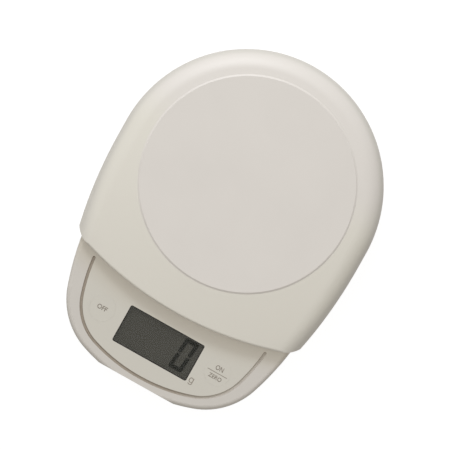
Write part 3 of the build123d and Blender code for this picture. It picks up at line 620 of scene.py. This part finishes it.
def cell_sleeve():
    """A cell's sleeve: both ends bare metal, a copper band at the plus end, a dark jacket."""
    finish, start, place = new_finish("cell_sleeve")
    x, y = axes(place, "XY")
    bay_low, bay_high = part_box("front_battery")[0].y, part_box("rear_battery")[1].y
    rear = y > (bay_low + bay_high) / 2
    plus = x * (2 * rear - 1)
    band = plus.smooth(SLEEVE_BAND_FROM, SLEEVE_BAND_FROM + SLEEVE_BLUR)
    past = [plus.smooth(end, end + SLEEVE_BLUR) for end in SLEEVE_ENDS]
    bare = past[1] + (1 - past[0])
    base = drifting(place, shade(46, 50, 58), 8 * MM, 0.08).mix(shade(186, 120, 66), band)
    fine = noise(place, 0.4 * MM)
    surface(start, {
        "Base Color": base.mix(shade(205, 204, 200), bare),
        "Metallic": bare,
        "Roughness": 0.28 + 0.08 * fine,
        "Normal": bump(fine, 0.004 * MM),
    })
    return finish


# %% [markdown]
# ## Dressing the pieces
#
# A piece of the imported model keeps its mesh, and only its material changes. One table says which
# finish goes to which pieces, and the cell ends by listing any piece that was forgotten.

# %% Which finish each piece of the frame wears
finishes = {
    platform_white: ["platform"],
    case_white: ["upper_shell", "lower_shell", "battery_door"],
    key_white: ["off_key", "on_key"],
    lens_clear: ["window_lens"],
    lcd_glass: ["display_glass"],
    plain("black_tape", shade(30, 30, 31), 0.6): ["window_tape"],
    plain("dark_abs", shade(62, 62, 63), 0.45): ["display_frame"],
    contact_strip(): ["contact_strip"],
    circuit_board(): ["circuit_board"],
    plain("chip_resin", shade(34, 34, 36), 0.4): ["controller_chip"],
    can_aluminium: ["capacitors"],
    plain("resistor_film", shade(44, 46, 50), 0.35): ["resistors"],
    plain("plug_nylon", shade(232, 230, 222), 0.4): ["lead_plug"],
    plain("switch_resin", shade(40, 40, 42), 0.35): ["off_switch", "on_switch"],
    plain("plunger_acetal", shade(228, 226, 218), 0.35): [
        "off_switch_plunger", "on_switch_plunger",
    ],
    screw_steel: [
        "board_screws", "case_screws", "cell_screws", "load_plate_screws", "platform_screws",
        "overload_stop",
    ],
    bar_aluminium: ["load_cell", "cell_spacer"],
    plate_aluminium: ["load_plate"],
    gauge_foil(): ["strain_gauges"],
    plain("silicone", shade(226, 226, 220), 0.3, grain=1.5 * MM, depth=0.03 * MM): [
        "gauge_sealant",
    ],
    rubber("grommet_rubber", shade(52, 52, 52)): ["grommets"],
    cell_sleeve(): ["front_battery", "rear_battery"],
    contact_nickel: ["positive_contact", "negative_contact", "bridge_contact"],
    rubber("grey_lead", shade(128, 128, 130), talc=0.05): ["cell_lead"],
    rubber("red_lead", shade(168, 34, 28), talc=0.03): ["positive_lead"],
    rubber("black_lead", shade(38, 38, 38), talc=0.05): ["negative_lead"],
    rubber("foot_rubber", shade(96, 95, 92)): ["rubber_feet"],
}
for finish, names in finishes.items():
    for name in names:
        nodes[name].data.materials.clear()
        nodes[name].data.materials.append(finish)
dressed = {name for names in finishes.values() for name in names}
print("finishes:", len(finishes), "pieces without one:", sorted(set(nodes) - dressed))

# %% [markdown]
# ## Helpers for modelling
#
# Blender's operators act on whatever is selected, and the imported pieces arrive selected. So
# every new piece starts by deselecting all of them. It ends with its place moved into its mesh,
# its finish, and the body that it rides on, so that it moves when that body does.

# %% Start and end of a piece
def only(piece):
    """Selects one object and nothing else."""
    bpy.ops.object.select_all(action="DESELECT")
    piece.select_set(True)
    bpy.context.view_layer.objects.active = piece


def settle(piece, name, body, finish):
    """Names a piece, moves its place into its mesh, and fixes it to a body."""
    only(piece)
    bpy.ops.object.transform_apply(location=True, rotation=True, scale=True)
    piece.name = piece.data.name = name
    piece.data.materials.clear()
    piece.data.materials.append(finish)
    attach(piece, body)
    low = [round(1000 * min(v.co[axis] for v in piece.data.vertices), 2) for axis in range(3)]
    high = [round(1000 * max(v.co[axis] for v in piece.data.vertices), 2) for axis in range(3)]
    print(name, "on", body, "faces:", len(piece.data.polygons), "from", low, "to", high)


def clean(piece):
    """Merges a closed mesh's doubled points and turns its faces outwards."""
    only(piece)
    bpy.ops.object.mode_set(mode="EDIT")
    bpy.ops.mesh.select_all(action="SELECT")
    bpy.ops.mesh.remove_doubles(threshold=0.001 * MM)
    bpy.ops.mesh.normals_make_consistent(inside=False)
    bpy.ops.object.mode_set(mode="OBJECT")


# %% [markdown]
# ## The edges of the keys
#
# From above, the keys can't be told from the panel: they are moulded so close to it that only a
# faint ring shows. A thin lip round each cap closes the hairline to the panel. It is spun from a
# small rounded profile, and goes down with its key.

# %% Lips of the keys
LIP_OUT = 6.94 * MM
LIP_WIDTH = 0.3 * MM
LIP_DEPTH = 0.25 * MM
LIP_ROUND = 0.05 * MM
LIP_ROUND_STEPS = 3
LIP_STEPS = 128
lip_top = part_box("off_key")[1].z + 0.01 * MM


def key_lip(name, body, centre):
    """A ring round a key's cap that stands flush with the panel."""
    bpy.ops.object.select_all(action="DESELECT")
    place = (centre[0] + LIP_OUT - LIP_WIDTH / 2, centre[1], lip_top - LIP_DEPTH / 2)
    bpy.ops.mesh.primitive_plane_add(size=1, location=place, rotation=(math.pi / 2, 0, 0))
    piece = bpy.context.object
    piece.scale = (LIP_WIDTH, LIP_DEPTH, 1)
    bpy.ops.object.transform_apply(location=True, rotation=True, scale=True)
    bpy.ops.object.mode_set(mode="EDIT")
    bpy.ops.mesh.bevel(offset=LIP_ROUND, segments=LIP_ROUND_STEPS, affect="VERTICES")
    bpy.ops.mesh.select_all(action="SELECT")
    bpy.ops.mesh.delete(type="ONLY_FACE")
    bpy.ops.mesh.select_all(action="SELECT")
    bpy.ops.mesh.spin(steps=LIP_STEPS, angle=2 * math.pi, center=(*centre, 0), axis=(0, 0, 1))
    bpy.ops.object.mode_set(mode="OBJECT")
    clean(piece)
    settle(piece, name, body, key_white)


for key in ("off", "on"):
    low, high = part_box(key + "_key")
    key_lip(key + "_key_lip", key + "_key", ((low.x + high.x) / 2, (low.y + high.y) / 2))

# %% [markdown]
# ## Printed marks
#
# The keys and the unit are marked in grey-brown pad print, a few hundredths of a millimetre
# thick. A flat patch on the surface would flicker against it, so each mark is a very thin closed
# slab that starts just under the surface. Text makes its shape, and it becomes a mesh before it
# is put in place. The unit is the g with an open tail. Its strokes lie too close together to be
# made bolder.

# %% Words in print
INK_HEIGHT = 0.03 * MM
INK_SINK = 0.02 * MM
INK_SLAB = INK_HEIGHT + INK_SINK
BOLD = 0.016
UNIT = "\u0261"
CURVE_STEPS = 5
ON_MARKS_X = 34.2 * MM


def print_word(name, word, centre, size, body, bold=BOLD):
    """A word of the given width and height in metres, centred on a point of the panel."""
    bpy.ops.object.select_all(action="DESELECT")
    bpy.ops.object.text_add()
    piece = bpy.context.object
    piece.data.body = word
    piece.data.resolution_u = CURVE_STEPS
    piece.data.offset = bold
    bpy.ops.object.convert(target="MESH")
    xs = [v.co.x for v in piece.data.vertices]
    ys = [v.co.y for v in piece.data.vertices]
    middle = Vector(((min(xs) + max(xs)) / 2, (min(ys) + max(ys)) / 2, 0))
    piece.data.transform(Matrix.Translation(-middle))
    scale = (size[0] / (max(xs) - min(xs)), size[1] / (max(ys) - min(ys)), 1)
    piece.data.transform(Matrix.Diagonal((*scale, 1)))
    bpy.ops.object.mode_set(mode="EDIT")
    bpy.ops.mesh.select_all(action="SELECT")
    bpy.ops.mesh.extrude_region_move(TRANSFORM_OT_translate={"value": (0, 0, INK_SLAB)})
    bpy.ops.object.mode_set(mode="OBJECT")
    piece.location = (centre[0], centre[1], panel_z - INK_SINK)
    clean(piece)
    settle(piece, name, body, print_ink)


print_word("off_mark", "OFF", (-34.3 * MM, -68.4 * MM), (5.6 * MM, 2.5 * MM), "off_key")
print_word("on_mark", "ON", (ON_MARKS_X, -66.2 * MM), (4.4 * MM, 2.6 * MM), "on_key")
print_word("zero_mark", "ZERO", (ON_MARKS_X, -71.3 * MM), (7.4 * MM, 2.2 * MM), "on_key")
print_word("gram_mark", UNIT, (24.2 * MM, -79.2 * MM), (2.5 * MM, 3.9 * MM), "case", bold=0.0)

# %% [markdown]
# ## The rule on the key
#
# A fine line parts the two words of the on key. It is one more slab of print, with softened
# edges.

# %% Line between the two marks of the on key
RULE_SIZE = (11.4 * MM, 0.35 * MM)
RULE_Y = -68.9 * MM
RULE_EDGE = 0.012 * MM

bpy.ops.object.select_all(action="DESELECT")
bpy.ops.mesh.primitive_cube_add(size=1)
rule = bpy.context.object
rule.scale = (*RULE_SIZE, INK_SLAB)
rule.location = (ON_MARKS_X, RULE_Y, panel_z + (INK_HEIGHT - INK_SINK) / 2)
bpy.ops.object.transform_apply(location=True, rotation=True, scale=True)
bpy.ops.object.mode_set(mode="EDIT")
bpy.ops.mesh.select_all(action="SELECT")
bpy.ops.mesh.bevel(offset=RULE_EDGE, segments=2, affect="EDGES")
bpy.ops.object.mode_set(mode="OBJECT")
settle(rule, "on_rule", "on_key", print_ink)

# %% [markdown]
# ## The lit digit
#
# A seven-segment digit is made of bars with cut corners, and a nought lights six of the seven. A
# bar is modelled from a box, by bevelling its upright edges. Four edges have to be picked for
# that, and they are the ones that join a corner below the middle to one above it.

# %% One segment
CORNER_CUT = 0.22 * STROKE
LCD_HEIGHT = 0.04 * MM


def pick_edges(piece, test):
    """Selects the edges of a mesh that pass a test, and stays in edit mode."""
    only(piece)
    bpy.ops.object.mode_set(mode="EDIT")
    bpy.ops.mesh.select_mode(type="EDGE")
    bpy.ops.mesh.select_all(action="DESELECT")
    bpy.ops.object.mode_set(mode="OBJECT")
    for edge in piece.data.edges:
        edge.select = test(edge)
    bpy.ops.object.mode_set(mode="EDIT")


def segment(length):
    """A flat bar along X with cut corners, centred on the origin."""
    bpy.ops.object.select_all(action="DESELECT")
    bpy.ops.mesh.primitive_cube_add(size=1)
    bar = bpy.context.object
    bar.scale = (length, STROKE, LCD_HEIGHT)
    bpy.ops.object.transform_apply(scale=True)
    corners = [v.co.copy() for v in bar.data.vertices]
    pick_edges(bar, lambda edge: corners[edge.vertices[0]].z * corners[edge.vertices[1]].z < 0)
    bpy.ops.mesh.bevel(offset=CORNER_CUT, segments=1, affect="EDGES")
    bpy.ops.object.mode_set(mode="OBJECT")
    return bar


# %% [markdown]
# ## From segments to a nought
#
# One flat and one upright bar are modelled, and copied to their places. The middle lines of the
# bars cross at the digit's corners, and the bars reach a little past them, while on each side two
# uprights part halfway up. Where two bars overlap, the upright one lies a hair higher, or their
# tops would flicker. The whole digit is sheared in the end, so that it leans to the right.

# %% Six segments make a nought
SEGMENT_GAP = 0.42 * MM
CORNER_REACH = 0.85 * MM
GLASS_GAP = 0.02 * MM


def copied(bar):
    """A copy of a bar, with its own mesh."""
    only(bar)
    bpy.ops.object.duplicate()
    return bpy.context.object


glass_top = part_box("display_glass")[1].z
middle = (DIGIT_SIZE - Vector((STROKE, STROKE))) / 2
corner = middle + Vector((CORNER_REACH, CORNER_REACH))
flat, upright = segment(2 * corner.x), segment(corner.y - SEGMENT_GAP)
upright.rotation_euler.z = math.pi / 2
bars = [flat, copied(flat), upright, copied(upright), copied(upright), copied(upright)]
places = [(0, side * middle.y, 0) for side in (-1, 1)]
for side in (-1, 1):
    for half in (-1, 1):
        places.append((side * middle.x, half * (corner.y + SEGMENT_GAP) / 2, LCD_HEIGHT / 4))
for bar, place in zip(bars, places):
    bar.location = place
bpy.ops.object.select_all(action="DESELECT")
for bar in bars:
    bar.select_set(True)
bpy.context.view_layer.objects.active = bars[0]
bpy.ops.object.transform_apply(location=True, rotation=True, scale=True)
bpy.ops.object.join()
digit = bpy.context.object
lean = Matrix.Identity(4)
lean[0][1] = DIGIT_SLANT
digit.data.transform(lean)
digit.location = (*DIGIT_CENTRE, glass_top + LCD_HEIGHT / 2 + GLASS_GAP)
clean(digit)
settle(digit, "display_digit", "case", lcd_ink)

# %% [markdown]
# ## Copies of the load cell, cut across
#
# The platform stands on one end of the load cell alone, and the other end is screwed to the case.
# Under a load the bar bends between the two, and if it rode on the case as it is, the load plate
# would cut into it. So the bar, its gauges and their sealant are copied and cut across at short
# steps, and the pieces they copy are hidden.

# %% Copies cut across at short steps
BEND_CUTS = 12
SHARP_EDGE = math.radians(30)
bar_low, bar_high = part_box("load_cell")
fixed_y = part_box("cell_spacer")[0].y
free_y = bar_low.y + bar_high.y - fixed_y


def bending(name):
    """A copy of a piece, cut across at short steps between the clamped ends of the load cell."""
    piece = bpy.data.objects.new(name + "_bending", nodes[name].data.copy())
    bpy.context.collection.objects.link(piece)
    clean(piece)
    bpy.ops.object.mode_set(mode="EDIT")
    for cut in range(BEND_CUTS + 1):
        y = fixed_y + (free_y - fixed_y) * cut / BEND_CUTS
        bpy.ops.mesh.select_all(action="SELECT")
        bpy.ops.mesh.bisect(plane_co=(0, y, 0), plane_no=(0, 1, 0))
    bpy.ops.object.mode_set(mode="OBJECT")
    bpy.ops.object.shade_smooth_by_angle(angle=SHARP_EDGE)
    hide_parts(name)
    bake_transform(piece)
    print(piece.name, "points:", len(piece.data.vertices), "faces:", len(piece.data.polygons))


slots = {
    "load_cell": "cell_aluminium", "strain_gauges": "gauge_foil", "gauge_sealant": "sealant"
}
for name, slot in slots.items():
    bending(name)

# %% [markdown]
# ## Table and background
#
# The scale lies on plain white. A white floor lit brightly enough to be white would also light
# the scale too much. Instead, the floor glows for the camera and for reflections alone, and it
# stays an ordinary pale table for the light that bounces off it. Some of what the camera sees is
# still lit in the usual way, and that part keeps the scale's shadow. Far from the scale the floor
# turns to pure white. From below, it can be looked through.

# %% Floor
WHITE = (1.0, 1.0, 1.0, 1.0)
FLOOR_R = 8.0
FLOOR_GLOW = 0.8
TABLE_TONE, SHADOWED_TONE = (0.35, 0.35, 0.34, 1.0), (0.3, 0.3, 0.3, 1.0)
WHITE_FROM, WHITE_TO = 0.35, 0.6


def what_is_seen(start):
    """1 for rays from the camera, a gloss or a glass, and 0 for those that carry light."""
    seen = start.node("LightPath", {}, {}, output="Is Camera Ray")
    for kind in ("Is Glossy Ray", "Is Transmission Ray"):
        seen = seen.larger(start.node("LightPath", {}, {}, output=kind))
    return seen


def floor_finish():
    """A pale table that looks white to the camera, and keeps the scale's shadow."""
    finish, start, place = new_finish("white_table")
    away = place.node("VectorMath", {"operation": "LENGTH"}, {0: place}, output="Value")
    grain = noise(place, 3 * MM)
    pale = drifting(place, TABLE_TONE, 200 * MM, 0.02)
    table = start.node("BsdfDiffuse", {}, {"Color": pale, "Normal": bump(grain, 0.01 * MM)})
    shadowed = start.node("BsdfDiffuse", {}, {"Color": SHADOWED_TONE})
    glow = start.node("Emission", {}, {"Color": WHITE, "Strength": FLOOR_GLOW})
    near = start.node("AddShader", {}, {0: shadowed, 1: glow})
    far = start.node("Emission", {}, {"Color": WHITE, "Strength": 1.0})
    view = start.node("MixShader", {}, {0: away.smooth(WHITE_FROM, WHITE_TO), 1: near, 2: far})
    above = start.node("MixShader", {}, {0: what_is_seen(start), 1: table, 2: view})
    behind = start.node("NewGeometry", {}, {}, output="Backfacing")
    below = start.node("BsdfTransparent", {}, {})
    both = start.node("MixShader", {}, {0: behind, 1: above, 2: below})
    start.node("OutputMaterial", {}, {"Surface": both})
    return finish


bpy.ops.object.select_all(action="DESELECT")
bpy.ops.mesh.primitive_circle_add(
    vertices=96, radius=FLOOR_R, fill_type="NGON", location=(0, 0, cad_low.z)
)
floor = bpy.context.object
floor.name = "table_top"
floor.data.materials.append(floor_finish())
floor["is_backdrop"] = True
print("floor at", round(1000 * cad_low.z, 3), "mm")

# %% [markdown]
# ## The room
#
# What lights the scale from all round is slightly warm, as light from walls and a ceiling is.
# What the camera sees past the table, and what gloss and glass show, is plain white.

# %% World
ROOM_COLOUR = (1.0, 0.95, 0.875, 1.0)
ROOM_STRENGTH = 0.52

world = bpy.data.worlds.new("studio")
world.use_nodes = True
world.node_tree.nodes.clear()
sky = Wire(world.node_tree)
lit = sky.node("Background", {}, {"Color": ROOM_COLOUR, "Strength": ROOM_STRENGTH})
backdrop = sky.node("Background", {}, {"Color": WHITE, "Strength": 1.0})
room = sky.node("MixShader", {}, {0: what_is_seen(sky), 1: lit, 2: backdrop})
sky.node("OutputWorld", {}, {"Surface": room})
bpy.context.scene.world = world
print("room light:", ROOM_COLOUR[:3], "strength:", ROOM_STRENGTH)

# %% [markdown]
# ## Light
#
# In the photo the rim is brightest at the back left and darkest at the front right, and yet the
# platform's shadow on the panel is faint. So about half of the light has no direction, and comes
# from the world. A small lamp from the back left, some forty degrees up, draws the shadow. A wide
# one in the same place casts none and shades the rim, as the light from a wall behind a white
# tent would.

# %% Lamps
LAMP_AZIMUTH = math.radians(123)
LAMP_HEIGHT = math.radians(41)
LAMP_DISTANCE = 2.4
LAMP_COLOUR = (0.98, 1.0, 1.035)


def soft_lamp(name, side, watts):
    """A square area lamp that faces the scale from the back left."""
    out = math.cos(LAMP_HEIGHT)
    aim = (math.cos(LAMP_AZIMUTH) * out, math.sin(LAMP_AZIMUTH) * out, math.sin(LAMP_HEIGHT))
    place = Vector(aim) * LAMP_DISTANCE
    bpy.ops.object.light_add(type="AREA", location=place)
    lamp = bpy.context.object
    lamp.name = name
    lamp.rotation_euler = (-place).to_track_quat("-Z", "Y").to_euler()
    lamp.data.shape = "SQUARE"
    lamp.data.size = side
    lamp.data.energy = watts
    lamp.data.color = LAMP_COLOUR
    print(name, "at", [round(part, 2) for part in place], "m, watts:", watts)
    return lamp


soft_lamp("key_light", side=0.65, watts=12.1)
wall_light = soft_lamp("wall_light", side=1.7, watts=30.5)
wall_light.data.use_shadow = False
bpy.context.scene.view_settings.view_transform = "Standard"

# %% [markdown]
# ## Sizes
#
# The size of all that is drawn, finishes and prints included, is printed, as the size of the
# pieces alone is at the start.

# %% Print the size of all that is drawn
low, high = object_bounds()
print("visual size in mm:", [round(1000 * side, 2) for side in high - low])
